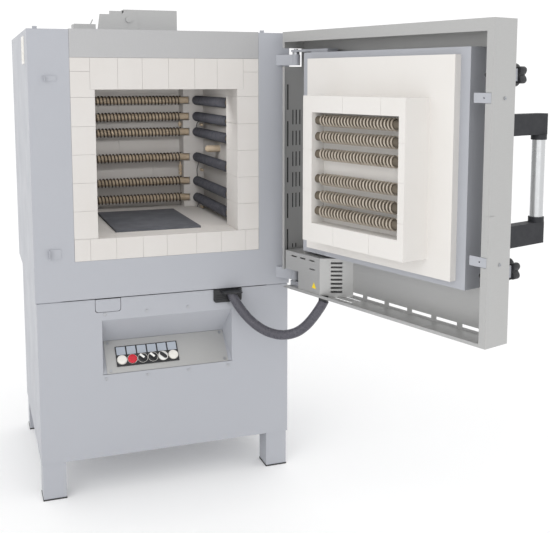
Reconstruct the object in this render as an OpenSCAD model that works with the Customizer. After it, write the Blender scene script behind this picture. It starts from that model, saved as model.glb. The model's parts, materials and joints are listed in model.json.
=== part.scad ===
// Front-loading chamber kiln for pottery: a sheet-metal cabinet on a legged base, a brick chamber
// with heating coils on the back wall, the side walls and the door, and a swing door on two hinges.
// Lengths are in millimetres. Sub-parts are drawn in the cabinet's own frame: X from its left side,
// Y from its front face towards the back, Z up from the floor. Door parts are drawn as if the door
// were shut. row_frame() then moves everything so that the origin is under the front left foot.

/* [Cabinet] */
// Width of the cabinet
body_w = 730; // [726:1:736]
// Depth of the upper casing
body_d = 730; // [720:5:760]
// Height of the casing's top face above the floor
body_top = 1298; // [1294:1:1304]
// Height of the seam between base and upper casing
base_top = 565; // [560:1:566]
// Height of the base casing's bottom edge
base_bottom = 106; // [80:1:130]
// Depth of the base casing
base_d = 600; // [560:5:640]
// Side of a square leg
leg_side = 63; // [50:1:70]

/* [Chamber] */
// Width of the chamber's opening
open_w = 400; // [394:1:402]
// Height of the chamber's opening
open_h = 407; // [400:1:410]
// Height of the chamber floor above the floor of the room
open_z = 732; // [728:1:734]
// Depth of the brick collar around the opening
collar_d = 113; // [105:1:120]
// Heat zone width behind the collar
chamber_w = 475; // [470:1:480]
// Distance from the front face to the chamber's back wall
chamber_back = 577; // [570:1:590]
// Thickness of the brick walls
brick_t = 76; // [64:1:76]

/* [Door] */
// Angle of the door from shut, as the part is stored
door_open = 107.35; // [95:0.05:120]
// Width of the door casing
door_w = 741; // [738:1:744]
// Height of the door casing
door_h = 730; // [726:1:732]
// Depth of the door casing
door_d = 77; // [70:1:80]
// Height of the door casing's bottom edge
door_z = 568; // [566:1:569]
// Diameter of a star knob
knob_dia = 55; // [45:1:58]

/* [Controls] */
// Distance between neighbouring controls
control_pitch = 29.6; // [29:0.1:34]
// Diameter of a control's cap
cap_dia = 26.5; // [24:0.5:27]

/* [Hidden] */
$fn = 48;

// Colours
paint = [0.74, 0.77, 0.82];
steel = [0.72, 0.72, 0.71];
brick = [0.93, 0.91, 0.87];
fibre = [0.86, 0.83, 0.76];
dark = [0.12, 0.12, 0.13];
coil_metal = [0.62, 0.56, 0.48];
tube_ceramic = [0.80, 0.72, 0.60];

// General clearances
sheet = 2;
gap = 0.5;
foot_inset = 5.2;
foot = [foot_inset + leg_side / 2, foot_inset + leg_side / 2];

// Door hinge axis, in the cabinet's frame
hinge = [body_w + 3.5, -45];
door_face = -3;
door_back = door_face - door_d;
door_top = door_z + door_h;

// Chamber outline
mid_x = 372.5;
open_x0 = mid_x - open_w / 2;
open_x1 = mid_x + open_w / 2;
open_top = open_z + open_h;
chamber_x0 = mid_x - chamber_w / 2;
chamber_x1 = mid_x + chamber_w / 2;
collar_x0 = 108;
collar_x1 = 636;
collar_z0 = 672.5;
collar_z1 = 1224;
joint_w = 0.5;

// Heating coils
coil_r = 16;
wire_r = 2.25;
tube_r = 11;
coil_z = [764, 821, 903, 989, 1041, 1096];
door_coil_z = [824, 864, 908.5, 973.5, 1019, 1061];

// Exhaust unit
exhaust = [400, 350];
sleeve_r = 25;
flap_axis = [320, 1346];

// Console recess in the base
console_x = [175, 555];
console_z = [344, 503];
console_deep = 70;
console_fold_z = 421;
plate_x = 188;
plate_w = 354;
plate_h = 100;
plate_y = 3;
plate_z = 345;
plate_tilt = 48.6;
control_u = 45.6;
control_v = 36;

// Conduit from the base to the door's terminal box
conduit_r = 14;
conduit_route = [
  [546, -20, 554.8], [549, -22, 544], [556, -28, 530], [565, -36, 514], [577, -46, 496],
  [590, -58, 480], [605, -72, 466], [622, -87, 455], [640, -103, 448.5], [660, -121, 446.5],
  [680, -138, 451], [699, -155, 462], [716, -170, 480], [730, -183, 502], [742, -194, 525],
  [752, -202, 546], [756.8, -206.9, 559.7]
];

// ---------------------------------------------------------------- helpers

module row_frame() {
  translate([-foot[0], -foot[1], 0]) children();
}

module on_door() {
  row_frame()
    translate([hinge[0], hinge[1], 0])
      rotate([0, 0, door_open])
        translate([-hinge[0], -hinge[1], 0]) children();
}

module on_console() {
  row_frame() translate([plate_x, plate_y, plate_z]) rotate([plate_tilt, 0, 0]) children();
}

// Box given by its low and high corners
module block(low, high) {
  translate(low) cube(high - low);
}

// Bar along X or Y, given by its start, radius and length
module bar_x(start, r, length) {
  translate(start) rotate([0, 90, 0]) cylinder(r = r, h = length);
}

module bar_y(start, r, length) {
  translate(start) rotate([-90, 0, 0]) cylinder(r = r, h = length);
}

// Screw head with a socket, its face towards -Y
module screw_front(p, r = 4) {
  translate(p) rotate([90, 0, 0]) screw_head(r);
}

module screw_head(r) {
  difference() {
    cylinder(r = r, h = 2);
    translate([0, 0, 1]) cylinder(r = r * 0.45, h = 2);
  }
}

// Row of bricks along one axis, cut at the given places, with a thin joint between neighbours
module brick_row(cuts, y, z) {
  for (i = [0 : len(cuts) - 2])
    block([cuts[i] + joint_w / 2, y[0], z[0]], [cuts[i + 1] - joint_w / 2, y[1], z[1]]);
}

module brick_stack(x, y, cuts) {
  for (i = [0 : len(cuts) - 2])
    block([x[0], y[0], cuts[i] + joint_w / 2], [x[1], y[1], cuts[i + 1] - joint_w / 2]);
}

// Sleeve that a wound coil fills, along Z from the origin
module coil_sleeve(length) {
  difference() {
    cylinder(r = coil_r, h = length);
    translate([0, 0, -1]) cylinder(r = coil_r - 2 * wire_r, h = length + 2);
  }
}

// ---------------------------------------------------------------- base

leg_x = [foot_inset, body_w - foot_inset - leg_side - 2];
leg_y = [foot_inset, base_d - leg_side - 2];
pad_t = 4;

module foot_pads() {
  color(dark) row_frame()
    for (x = leg_x, y = leg_y)
      block([x - 1, y - 1, 0], [x + leg_side + 1, y + leg_side + 1, pad_t]);
}

module legs() {
  color(paint) row_frame()
    for (x = leg_x, y = leg_y)
      difference() {
        block([x, y, pad_t], [x + leg_side, y + leg_side, base_top]);
        block([x + 3, y + 3, pad_t + 5], [x + leg_side - 3, y + leg_side - 3, base_top + 1]);
      }
}

base_x = [3, body_w - 3];
base_y = [3, base_d + 3];
seam = 3;

module base_casing() {
  color(paint) row_frame()
    difference() {
      block([base_x[0], base_y[0], base_bottom], [base_x[1], base_y[1], base_top - seam]);
      difference() {
        block([base_x[0] + sheet, base_y[0] + sheet, base_bottom + sheet],
              [base_x[1] - sheet, base_y[1] - sheet, base_top + 1]);
        base_ribs();
      }
      block([console_x[0], 0, console_z[0]], [console_x[1], base_y[0] + sheet + 1, console_z[1]]);
      for (x = leg_x, y = leg_y)
        block([x - 0.2, y - 0.2, base_bottom - 1],
              [x + leg_side + 0.2, y + leg_side + 0.2, base_bottom + sheet + 1]);
      side_louvres();
      rounded_tab([blank_x[0] - blank_gap, base_y[0] - 1, blank_z - blank_gap],
                  [blank_x[1] + blank_gap, base_y[0] + sheet + 1, base_top]);
      bar_y([gland_x, base_y[1] - 10, gland_z], 12.2, 20);
    }
}

// Stiffening flange along the top edge of the base casing
module base_ribs() {
  for (x = [base_x[0] + sheet, base_x[1] - sheet - 18])
    block([x, 80, base_top - 12], [x + 18, base_d - 80, base_top - 10]);
}

louvre_z = [300, 318, 336, 354, 372, 390, 408, 426];

module side_louvres() {
  for (z = louvre_z)
    block([base_x[1] - 5, 200, z], [base_x[1] + 5, 330, z + 5]);
}

// Recess above the control plate: a folded upper wall and two slanted cheeks
module console_hood() {
  y0 = base_y[0];
  color(paint) row_frame()
    translate([console_x[0], 0, 0]) rotate([90, 0, 90])
      linear_extrude(console_x[1] - console_x[0])
        polygon([[y0, console_z[1] - sheet], [y0, console_z[1]], [y0 + sheet, console_z[1]],
                 [console_deep + 2, console_fold_z + sheet], [console_deep + 2, console_fold_z - 1],
                 [console_deep, console_fold_z - 1]]);
}

// Slanted side walls of the recess, between its bed and its hood
module console_cheeks() {
  y0 = base_y[0];
  play = 0.15;
  low = plate_z + play;
  high = console_z[1] - sheet - play;
  rise = tan(plate_tilt);
  fall = (console_z[1] - sheet - console_fold_z + 1) / (console_deep - y0);
  reach = (high - low) / (rise + fall);
  color(paint) row_frame() intersection() {
    for (side = [0, 1])
      translate([side * (console_x[0] + console_x[1]), 0, console_z[0]])
        mirror([side, 0, 0]) linear_extrude(console_z[1] - console_z[0])
          polygon([[console_x[0], y0], [console_x[0] + sheet, y0],
                   [plate_x - gap, console_deep], [plate_x - gap - sheet, console_deep]]);
    rotate([90, 0, 90]) linear_extrude(body_w)
      polygon([[y0, low], [y0 + reach, low + rise * reach], [y0, high]]);
  }
}

// Slanted panel that the control plate lies on, as wide as the recess at each height
module console_bed() {
  color(paint) row_frame() intersection() {
    translate([0, plate_y, plate_z]) rotate([plate_tilt, 0, 0]) difference() {
      translate([console_x[0], 1, -sheet]) cube([console_x[1] - console_x[0], plate_h - 2, sheet]);
      for (i = [0 : 5])
        translate([plate_x + control_u + i * control_pitch, control_v, -5]) cylinder(r = 11.4, h = 10);
    }
    linear_extrude(body_top)
      polygon([[console_x[0], base_y[0]], [plate_x - gap, console_deep],
               [plate_x + plate_w + gap, console_deep], [console_x[1], base_y[0]]]);
  }
}

module console_plate() {
  color(steel) on_console()
    difference() {
      translate([gap, 0, 0]) cube([plate_w - 2 * gap, plate_h, sheet]);
      for (i = [0 : 5])
        translate([control_u + i * control_pitch, control_v, -1]) cylinder(r = 11.4, h = 5);
    }
}

// Black frame around the six controls and their labels
module control_frame() {
  color(dark) on_console()
    difference() {
      translate([29.8, 18, sheet]) cube([179.6, 60.5, 3]);
      for (i = [0 : 5])
        translate([control_u + i * control_pitch, control_v, 0]) {
          translate([0, 0, sheet - 1]) cylinder(r = 14.6, h = 6);
          translate([-label_w / 2 - 0.2, 15.8, sheet + 1.5]) cube([label_w + 0.4, label_h + 0.4, 3]);
        }
    }
}

label_w = 25.6;
label_h = 24.5;

module control_labels() {
  color([0.75, 0.76, 0.76]) on_console()
    for (i = [0 : 5])
      translate([control_u + i * control_pitch - label_w / 2, control_v + 16, sheet + 1.5])
        cube([label_w, label_h, 1]);
}

module control_bezels() {
  color([0.8, 0.8, 0.8]) on_console()
    for (i = [0 : 5])
      translate([control_u + i * control_pitch, control_v, sheet])
        difference() {
          cylinder(r = 14.4, h = 4.5);
          translate([0, 0, -1]) cylinder(r = cap_dia / 2 + 0.3, h = 7);
        }
}

// Cap of a push button, proud of its bezel, with a shaft behind the plate
module push_button(i, tint) {
  color(tint) on_console()
    translate([control_u + i * control_pitch, control_v, 0]) {
      translate([0, 0, -6]) cylinder(r = 6, h = 13);
      translate([0, 0, 6]) cylinder(r = cap_dia / 2, h = 5);
    }
}

// Rotary selector: a round base with a grip bar across it
module selector(i) {
  color(dark) on_console()
    translate([control_u + i * control_pitch, control_v, 0]) {
      translate([0, 0, -4]) cylinder(r = 5, h = 8);
      translate([0, 0, 3]) cylinder(r = cap_dia / 2, h = 5);
      rotate([0, 0, 45]) translate([-3.5, -cap_dia / 2 + 0.5, 8]) cube([7, cap_dia - 1, 7]);
    }
}

module left_button() {
  push_button(0, [0.92, 0.92, 0.9]);
}

module red_button() {
  push_button(1, [0.75, 0.08, 0.08]);
}

module left_selector() {
  selector(2);
}

module middle_selector() {
  selector(3);
}

module right_selector() {
  selector(4);
}

module right_button() {
  push_button(5, [0.92, 0.92, 0.9]);
}

module console_screws() {
  color(steel) {
    row_frame()
      for (x = [185.5, 303, 422, 541], z = [332, 518])
        screw_front([x, base_y[0], z], 4);
    on_console()
      for (u = [11, plate_w - 11], v = [8, plate_h - 8])
        translate([u, v, sheet]) screw_head(4);
  }
}

// Contactors and a terminal rail on a mounting plate inside the base
module switchgear() {
  color([0.55, 0.57, 0.58]) row_frame() {
    block([120, 560, 200], [610, 563, 480]);
    for (x = [150, 230, 310]) {
      block([x, 480, 330], [x + 60, 559.7, 420]);
      block([x + 8, 470, 345], [x + 52, 479.7, 405]);
    }
    block([150, 530, 240], [560, 559.7, 275]);
    block([420, 470, 320], [560, 559.7, 440]);
  }
}

gland_x = 620;
gland_z = 180;

module mains_gland() {
  color(dark) row_frame()
    difference() {
      union() {
        bar_y([gland_x, base_y[1] - sheet - 8, gland_z], 12, 10 + sheet);
        bar_y([gland_x, base_y[1], gland_z], 18, 14);
        bar_y([gland_x, base_y[1] + 14, gland_z], 14, 12);
      }
      bar_y([gland_x, base_y[1] - 20, gland_z], 8, 60);
    }
}

// ---------------------------------------------------------------- upper casing

module upper_casing() {
  color(paint) row_frame() {
    block([0, 0, base_top], [sheet, body_d, body_top]);
    block([body_w - sheet, 0, base_top], [body_w, body_d, body_top]);
    block([sheet, body_d - sheet, base_top], [body_w - sheet, body_d, body_top]);
    block([sheet, sheet, base_top], [body_w - sheet, body_d - sheet, base_top + sheet]);
    difference() {
      block([sheet, sheet, body_top - sheet], [body_w - sheet, body_d - sheet, body_top]);
      translate([exhaust[0], exhaust[1], body_top - 5]) cylinder(r = sleeve_r + 0.5, h = 10);
    }
    block([sheet, 0, base_top], [collar_x0 - gap, sheet, body_top]);
    block([collar_x1 + gap, 0, base_top], [body_w - sheet, sheet, body_top]);
    block([collar_x0 - gap, 0, base_top], [collar_x1 + gap, sheet, collar_z0 - gap]);
  }
}

module lintel_plate() {
  color(steel) row_frame() {
    block([collar_x0, -0.6, collar_z1 + gap], [collar_x1, 1.4, body_top + 1.5]);
    block([collar_x0, 1.4, body_top + 0.1], [collar_x1, 40, body_top + 1.5]);
  }
}

// Fibre slabs between the bricks and the casing
module backup_insulation() {
  x = [sheet + gap, chamber_x0 - brick_t - gap, chamber_x1 + brick_t + gap, body_w - sheet - gap];
  y = [sheet + gap, collar_d, chamber_back + brick_t + gap, body_d - sheet - gap];
  z = [base_top + sheet + gap, body_top - sheet - gap];
  floor_z = open_z - brick_t - gap;
  roof_z = open_top + brick_t + gap;
  color(fibre) row_frame() {
    block([x[0], y[0], z[0]], [x[1], y[3], z[1]]);
    block([x[2], y[0], z[0]], [x[3], y[3], z[1]]);
    block([x[1], y[2], z[0]], [x[2], y[3], z[1]]);
    block([x[1], y[1], z[0]], [x[2], y[2], floor_z]);
    block([x[1], y[0], z[0]], [x[2], y[1], collar_z0 - gap]);
    block([x[1], y[0], collar_z0 - gap], [collar_x0 - gap, y[1] - gap, collar_z1 + gap]);
    block([collar_x1 + gap, y[0], collar_z0 - gap], [x[2], y[1] - gap, collar_z1 + gap]);
    block([x[1], y[0], collar_z1 + gap], [x[2], y[1], z[1]]);
    difference() {
      block([x[1], y[1], roof_z], [x[2], y[2], z[1]]);
      translate([exhaust[0], exhaust[1], roof_z - 5]) cylinder(r = sleeve_r + 0.5, h = 200);
    }
  }
}

// ---------------------------------------------------------------- bricks

course_cuts = [open_z + 2, 810, 887, 964, 1040, 1118];
lintel_cuts = [160.5, 235, 302, 375, 449, 514, 590.5];
sill_cuts = [collar_x0, 151, 222, 296, 364, 449, 523, 596, collar_x1];
corner_z = 1187;

module collar_bricks() {
  y = [0, collar_d - gap];
  color(brick) row_frame() {
    brick_row(lintel_cuts, y, [open_top, collar_z1]);
    brick_row(sill_cuts, y, [collar_z0, open_z]);
    for (side = [0, 1])
      translate([side * 2 * mid_x, 0, 0]) mirror([side, 0, 0]) jamb_bricks(y, side);
  }
}

// One jamb of the collar, with a corner brick notched under the lintel
module jamb_bricks(y, side) {
  edge = side == 0 ? collar_x0 : 2 * mid_x - collar_x1;
  inner = side == 0 ? lintel_cuts[0] : 2 * mid_x - lintel_cuts[6];
  top_cut = course_cuts[5];
  brick_stack([edge, open_x0], y, course_cuts);
  block([edge, y[0], open_z + joint_w / 2], [open_x0, y[1], course_cuts[0] - joint_w / 2]);
  block([edge, y[0], corner_z + joint_w / 2], [inner - joint_w / 2, y[1], collar_z1]);
  block([edge, y[0], top_cut + joint_w / 2], [inner - joint_w / 2, y[1], corner_z - joint_w / 2]);
  block([inner - joint_w / 2, y[0], top_cut + joint_w / 2], [open_x0, y[1], open_top - joint_w / 2]);
}

wall_cuts = [open_z - brick_t, open_z + 2, 810, 887, 964, 1040, 1118, open_top + brick_t];

module side_wall_bricks() {
  y = [collar_d, chamber_back + brick_t];
  color(brick) row_frame() {
    brick_stack([chamber_x0 - brick_t, chamber_x0], y, wall_cuts);
    brick_stack([chamber_x1, chamber_x1 + brick_t], y, wall_cuts);
  }
}

module back_wall_bricks() {
  cuts = [chamber_x0 + gap, 215, 330, 445, 560, chamber_x1 - gap];
  color(brick) row_frame()
    for (k = [0 : len(wall_cuts) - 2])
      brick_row(k % 2 == 0 ? [cuts[0], cuts[1], cuts[3], cuts[5]] : [cuts[0], cuts[2], cuts[4], cuts[5]],
                [chamber_back, chamber_back + brick_t],
                [wall_cuts[k] + joint_w / 2, wall_cuts[k + 1] - joint_w / 2]);
}

column_y = [515, chamber_back - gap];
column_w = 71;
notch_w = 22;

// Columns in the back corners that carry the ends of the coils' tubes
module corner_columns() {
  color(brick) row_frame()
    for (side = [0, 1])
      translate([side * 2 * mid_x, 0, 0]) mirror([side, 0, 0])
        difference() {
          block([chamber_x0 + gap, column_y[0], open_z + gap],
                [chamber_x0 + column_w, column_y[1], open_top - gap]);
          for (z = coil_z) {
            block([chamber_x0 + column_w - notch_w, column_y[0] - 1, z - tube_r - 2],
                  [chamber_x0 + column_w + 1, back_coil_y + tube_r + 0.5, z + tube_r + 2]);
            bar_y([side_coil_x, column_y[0] - 5, z], tube_r + 0.3, 11);
          }
        }
}

module roof_bricks() {
  cuts = [chamber_x0, 255, 372.5, 490, chamber_x1];
  color(brick) row_frame()
    difference() {
      brick_row([cuts[0] + gap, cuts[1], cuts[2], cuts[3], cuts[4] - gap],
                [collar_d, chamber_back - gap], [open_top, open_top + brick_t]);
      translate([exhaust[0], exhaust[1], open_top - 5]) cylinder(r = sleeve_r + 0.5, h = 200);
    }
}

module floor_bricks() {
  cuts = [chamber_x0, 255, 372.5, 490, chamber_x1];
  color(brick) row_frame()
    brick_row([cuts[0] + gap, cuts[1], cuts[2], cuts[3], cuts[4] - gap],
              [collar_d, chamber_back - gap], [open_z - brick_t, open_z]);
}

// ---------------------------------------------------------------- heating

back_coil_y = 533;
back_coil_x = [209, 536];
back_tube_x = [chamber_x0 + column_w - notch_w + 1, 2 * mid_x - chamber_x0 - column_w + notch_w - 1];
side_coil_x = 161;
side_coil_y = [115, 510];

module back_coil_tubes() {
  color(tube_ceramic) row_frame()
    for (z = coil_z)
      bar_x([back_tube_x[0], back_coil_y, z], tube_r, back_tube_x[1] - back_tube_x[0]);
}

module back_heating_coils() {
  color(coil_metal) row_frame()
    for (z = coil_z)
      translate([back_coil_x[0], back_coil_y, z]) rotate([0, 90, 0])
        coil_sleeve(back_coil_x[1] - back_coil_x[0]);
}

module side_coil_tubes() {
  color(tube_ceramic) row_frame()
    for (z = coil_z, x = [side_coil_x, 2 * mid_x - side_coil_x])
      bar_y([x, collar_d + 0.3, z], tube_r, column_y[0] + 5 - collar_d);
}

module side_heating_coils() {
  color(coil_metal) row_frame()
    for (z = coil_z, x = [side_coil_x, 2 * mid_x - side_coil_x])
      translate([x, side_coil_y[0], z]) rotate([-90, 0, 0])
        coil_sleeve(side_coil_y[1] - side_coil_y[0]);
}

link_pairs = [[1, 2], [3, 4]];
link_x = 531;

// Upright leads that join neighbouring coils, each with ceramic beads
module coil_links() {
  color(tube_ceramic) row_frame()
    for (pair = link_pairs) {
      low = coil_z[pair[0]] + coil_r + 1;
      high = coil_z[pair[1]] - coil_r - 1;
      translate([link_x, back_coil_y, low]) cylinder(r = 2.5, h = high - low);
      for (z = [low + 4 : 12 : high - 12])
        translate([link_x, back_coil_y, z]) cylinder(r = 6, h = 9);
    }
}

thermo_tip_x = 562;
thermo_y = 320;
thermo_z = 945;

module thermocouple() {
  color([0.85, 0.78, 0.66]) row_frame() {
    bar_x([thermo_tip_x + 11, thermo_y, thermo_z], 11, chamber_x1 - thermo_tip_x - 11);
    translate([thermo_tip_x + 11, thermo_y, thermo_z]) sphere(r = 11);
  }
}

plate_t = 6;

module floor_plate() {
  color([0.25, 0.27, 0.31]) row_frame()
    block([234, 84, open_z], [484, 445, open_z + plate_t]);
}

// ---------------------------------------------------------------- cabinet fittings

// Folded clips that the door's clamps pull against
module door_catches() {
  color(paint) row_frame()
    for (z = [[1162, 1176], [684, 710]]) {
      block([40, -2, z[0]], [72, 0, z[1]]);
      block([40, -14, z[0]], [42, -2, z[1]]);
    }
}

// Upright plate whose two lower corners are rounded
module rounded_tab(low, high, r = 8) {
  block([low[0], low[1], low[2] + r], high);
  block([low[0] + r, low[1], low[2]], [high[0] - r, high[1], low[2] + r]);
  for (x = [low[0] + r, high[0] - r])
    bar_y([x, low[1], low[2] + r], r, high[1] - low[1]);
}

bushing_x = [498, 582];
bushing_lip = [[518, -37, 555], [574, -3, 559]];

// Black grommet plate with raised ribs and a lip that holds the end of the conduit
module conduit_bushing() {
  color(dark) row_frame()
    union() {
      rounded_tab([bushing_x[0], -3, 524], [bushing_x[1], base_y[0], base_top - seam]);
      for (z = [530, 536, 542])
        block([bushing_x[0] + 7, -5, z], [bushing_x[1] - 7, -3, z + 3]);
      block(bushing_lip[0], bushing_lip[1]);
    }
}

blank_x = [160.5, 229.5];
blank_z = 525;
blank_gap = 1.3;

// Flush plate that closes the second conduit opening
module blanking_plate() {
  color(paint) row_frame()
    rounded_tab([blank_x[0], base_y[0], blank_z], [blank_x[1], base_y[0] + sheet, base_top - seam - 1]);
}

// Plain vent grille high on the left side
module side_grille() {
  color([0.88, 0.88, 0.87]) row_frame()
    difference() {
      block([-2, 101, 1208], [0, 187, 1283]);
      for (y = [108 : 12 : 180])
        block([-3, y, 1216], [-1, y + 5, 1275]);
    }
}

block_z = [[586, 617], [1206, 1236]];
pin_r = 6;

// Hinge block: foot on the cabinet's face, arm forward to the pin, rounded end
module hinge_blocks() {
  color(paint) row_frame()
    for (z = block_z)
      difference() {
        union() {
          translate([0, 0, z[0]]) linear_extrude(z[1] - z[0])
            polygon([[690, 0], [728, 0], [hinge[0] + 12, hinge[1]], [hinge[0] - 12, hinge[1]]]);
          translate([hinge[0], hinge[1], z[0]]) cylinder(r = 12, h = z[1] - z[0]);
        }
        translate([hinge[0], hinge[1], z[0] - 1]) cylinder(r = pin_r, h = z[1] - z[0] + 2);
      }
}

arm_z = [[570.5, 582], [1243, 1249]];

module hinge_pins() {
  color(steel) row_frame()
    translate([hinge[0], hinge[1], 0]) {
      translate([0, 0, 570.5]) cylinder(r = pin_r, h = 617 - 570.5);
      translate([0, 0, 582.3]) cylinder(r = 10, h = 586 - 582.3);
      translate([0, 0, 1206]) cylinder(r = pin_r, h = 1252 - 1206);
      translate([0, 0, 1236]) cylinder(r = 10, h = 1242.7 - 1236);
    }
}

// ---------------------------------------------------------------- exhaust

module exhaust_sleeve() {
  color(tube_ceramic) row_frame()
    translate([exhaust[0], exhaust[1], open_top + 1])
      difference() {
        cylinder(r = sleeve_r, h = body_top + 10 - open_top - 1);
        translate([0, 0, -1]) cylinder(r = sleeve_r - 6, h = 400);
      }
}

flap_y = [296, 404];
roof = body_top + 0.2;

// Fixed side plates with the flap's pivot, stepped guard plates and a low box with a release lever
module exhaust_bracket() {
  color(steel) row_frame()
    difference() {
      union() {
        for (y = [flap_y[0] - 3, flap_y[1] + 1]) {
          block([295, y, roof], [349, y + 2, flap_axis[1]]);
          bar_y([322, y, flap_axis[1]], 27, 2);
        }
        block([295, flap_y[0] - 3, roof], [349, flap_y[1] + 3, roof + 2]);
        block([262, flap_y[0] - 3, roof], [300, flap_y[0] - 1, 1371]);
        translate([0, flap_y[0] - 1, 0]) rotate([90, 0, 0]) linear_extrude(2)
          polygon([[224, roof], [262, roof], [262, 1361], [233, 1361]]);
        block([158, 300, roof], [222, 370, 1331]);
        translate([206, 304, 1331]) rotate([0, 25, 0]) translate([0, 0, -2]) cube([3, 8, 18]);
      }
      bar_y([flap_axis[0], flap_y[0] - 10, flap_axis[1]], 5.05, 140);
      translate([exhaust[0], exhaust[1], body_top - 5]) cylinder(r = sleeve_r + 0.5, h = 20);
      block([164, 306, roof + 2], [216, 364, 1327]);
    }
}

// Folded cover that lifts off the exhaust sleeve, on a through pin
module exhaust_flap() {
  color(steel) row_frame()
    union() {
      difference() {
        block([306, flap_y[0], 1314], [470, flap_y[1], 1376]);
        block([300, flap_y[0] + sheet, 1310], [468, flap_y[1] - sheet, 1374]);
      }
      bar_y([flap_axis[0], flap_y[0] - 7, flap_axis[1]], 5, flap_y[1] - flap_y[0] + 14);
      bar_y([flap_axis[0], flap_y[0] - 9, flap_axis[1]], 9, 5.5);
    }
}

// ---------------------------------------------------------------- door shell

flange = 19;
hinge_cut_z = [[569.5, 621], [1202, 1253.5]];

module door_casing() {
  color(steel) on_door()
    difference() {
      block([0, door_back, door_z], [door_w, door_face, door_top]);
      block([sheet, door_back + sheet, door_z + sheet], [door_w - sheet, door_face - sheet, door_top - sheet]);
      block([flange, door_face - 2 * sheet, door_z + 8], [door_w - 9, door_face + 1, door_top - 28]);
      for (z = hinge_cut_z)
        block([door_w - 16, -71, z[0]], [door_w + 1, door_face + 1, z[1]]);
      for (z = knob_z)
        bar_y([knob_x, door_back - 5, z], spindle_r + 0.5, 12);
      for (z = bracket_z)
        block([3, door_face - 4, z[0] - 1], [flange + 1, door_face + 1, z[1] + 1]);
      hinge_wall_slots();
      bottom_slots();
      translate([gland_at[0], gland_at[1], door_z - 1]) cylinder(r = 13, h = 5);
    }
}

// Vent slots along the hinge side of the door casing
module hinge_wall_slots() {
  x = [door_w - 5, door_w + 1];
  for (z = [664 : 104 : 1100])
    block([x[0], -23, z], [x[1], -18, z + 72]);
  for (k = [0 : 4], y = [-39, -51, -64.5])
    block([x[0], y - 2, 1080 - 42 - 60 * k], [x[1], y + 2, 1080 - 60 * k]);
  for (z = [640, 660, 680], y = [-39, -51])
    block([x[0], y - 2, z], [x[1], y + 2, z + 12]);
}

// Row of vent slots low in the back panel, and two short slots in the bottom wall
module bottom_slots() {
  for (x = [64 : 83 : 480])
    block([x, door_back - 1, 576], [x + 67, door_back + 3, 584]);
  for (y = [-71, -42])
    block([476, y, door_z - 1], [548, y + 8, door_z + 5]);
}

tray_x = [76.5, 666];
tray_z = [685, 1239];
tray_y = -20;

// Painted inner pan that holds the door's insulation
module door_tray() {
  color(paint) on_door()
    difference() {
      block([tray_x[0], door_back + sheet, tray_z[0]], [tray_x[1], tray_y, tray_z[1]]);
      block([tray_x[0] + sheet, door_back + sheet - 1, tray_z[0] + sheet],
            [tray_x[1] - sheet, tray_y - sheet, tray_z[1] - sheet]);
      block([slab_x[0] + 6, tray_y - 10, slab_z[0] + 6], [slab_x[1] - 6, tray_y + 5, slab_z[1] - 6]);
    }
}

slab_x = [104.5, 627];
slab_z = [703, 1222];
slab_y = -0.5;

module door_insulation() {
  color(brick) on_door() {
    block([slab_x[0], tray_y, slab_z[0]], [slab_x[1], slab_y, slab_z[1]]);
    block([slab_x[0] + 7, door_back + sheet + gap, slab_z[0] + 7], [slab_x[1] - 7, tray_y, slab_z[1] - 7]);
  }
}

plug_x = [178.4, 555];
plug_z = [743.8, 1124.4];
plug_y = 72;
plug_lean = 6.1;
recess_x = [205, 519];
recess_z = [793, 1082];
recess_y = 30;

// Brick plug with a recess for the door's coils; its free side leans so that it clears the jamb
module door_plug_bricks() {
  color(brick) on_door()
    difference() {
      translate([0, 0, plug_z[0]]) linear_extrude(plug_z[1] - plug_z[0])
        polygon([[plug_x[0], slab_y], [plug_x[1], slab_y], [plug_x[1], plug_y],
                 [plug_x[0] + plug_lean, plug_y]]);
      block([recess_x[0], recess_y, recess_z[0]], [recess_x[1], plug_y + 1, recess_z[1]]);
      for (z = door_coil_z)
        bar_x([door_tube_x[0], door_coil_y, z], tube_r + 0.3, door_tube_x[1] - door_tube_x[0]);
      for (z = [833, 928, 1020])
        plug_joint([plug_x[0] - 1, plug_y - 1.2, z], [recess_x[0] + 1, plug_y + 1, z + 0.8]);
      for (z = [880, 985])
        plug_joint([recess_x[1] - 1, plug_y - 1.2, z], [plug_x[1] + 1, plug_y + 1, z + 0.8]);
      for (x = [300, 432])
        plug_joint([x, plug_y - 1.2, plug_z[0] - 1], [x + 0.8, plug_y + 1, recess_z[0] + 1]);
      for (x = [265, 400])
        plug_joint([x, plug_y - 1.2, recess_z[1] - 1], [x + 0.8, plug_y + 1, plug_z[1] + 1]);
    }
}

module plug_joint(low, high) {
  block(low, high);
}

door_coil_y = 50;
door_coil_x = [226, 500];
door_tube_x = [199, 525];

module door_coil_tubes() {
  color(tube_ceramic) on_door()
    for (z = door_coil_z)
      bar_x([door_tube_x[0] + 1, door_coil_y, z], tube_r, door_tube_x[1] - door_tube_x[0] - 2);
}

module door_heating_coils() {
  color(coil_metal) on_door()
    for (z = door_coil_z)
      translate([door_coil_x[0], door_coil_y, z]) rotate([0, 90, 0])
        coil_sleeve(door_coil_x[1] - door_coil_x[0]);
}

// Arms with running bores for the hinge pins
module door_hinge_arms() {
  color(paint) on_door()
    difference() {
      union() {
        for (z = arm_z)
          translate([hinge[0], hinge[1], z[0]]) cylinder(r = 14, h = z[1] - z[0]);
        block([580, -70, arm_z[1][0]], [hinge[0], -32, arm_z[1][1]]);
        block([580, -70, tray_z[1] + 0.2], [650, -32, arm_z[1][0]]);
        block([680, door_back + sheet + 0.2, arm_z[0][0]], [hinge[0], -34, arm_z[0][1]]);
      }
      for (z = arm_z)
        translate([hinge[0], hinge[1], z[0] - 1]) cylinder(r = pin_r + 0.05, h = z[1] - z[0] + 2);
    }
}

box_x = [575, 729];
box_z = [570.3, 678];
box_face = door_face - sheet - 0.2;
gland_at = [572, -19];

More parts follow.
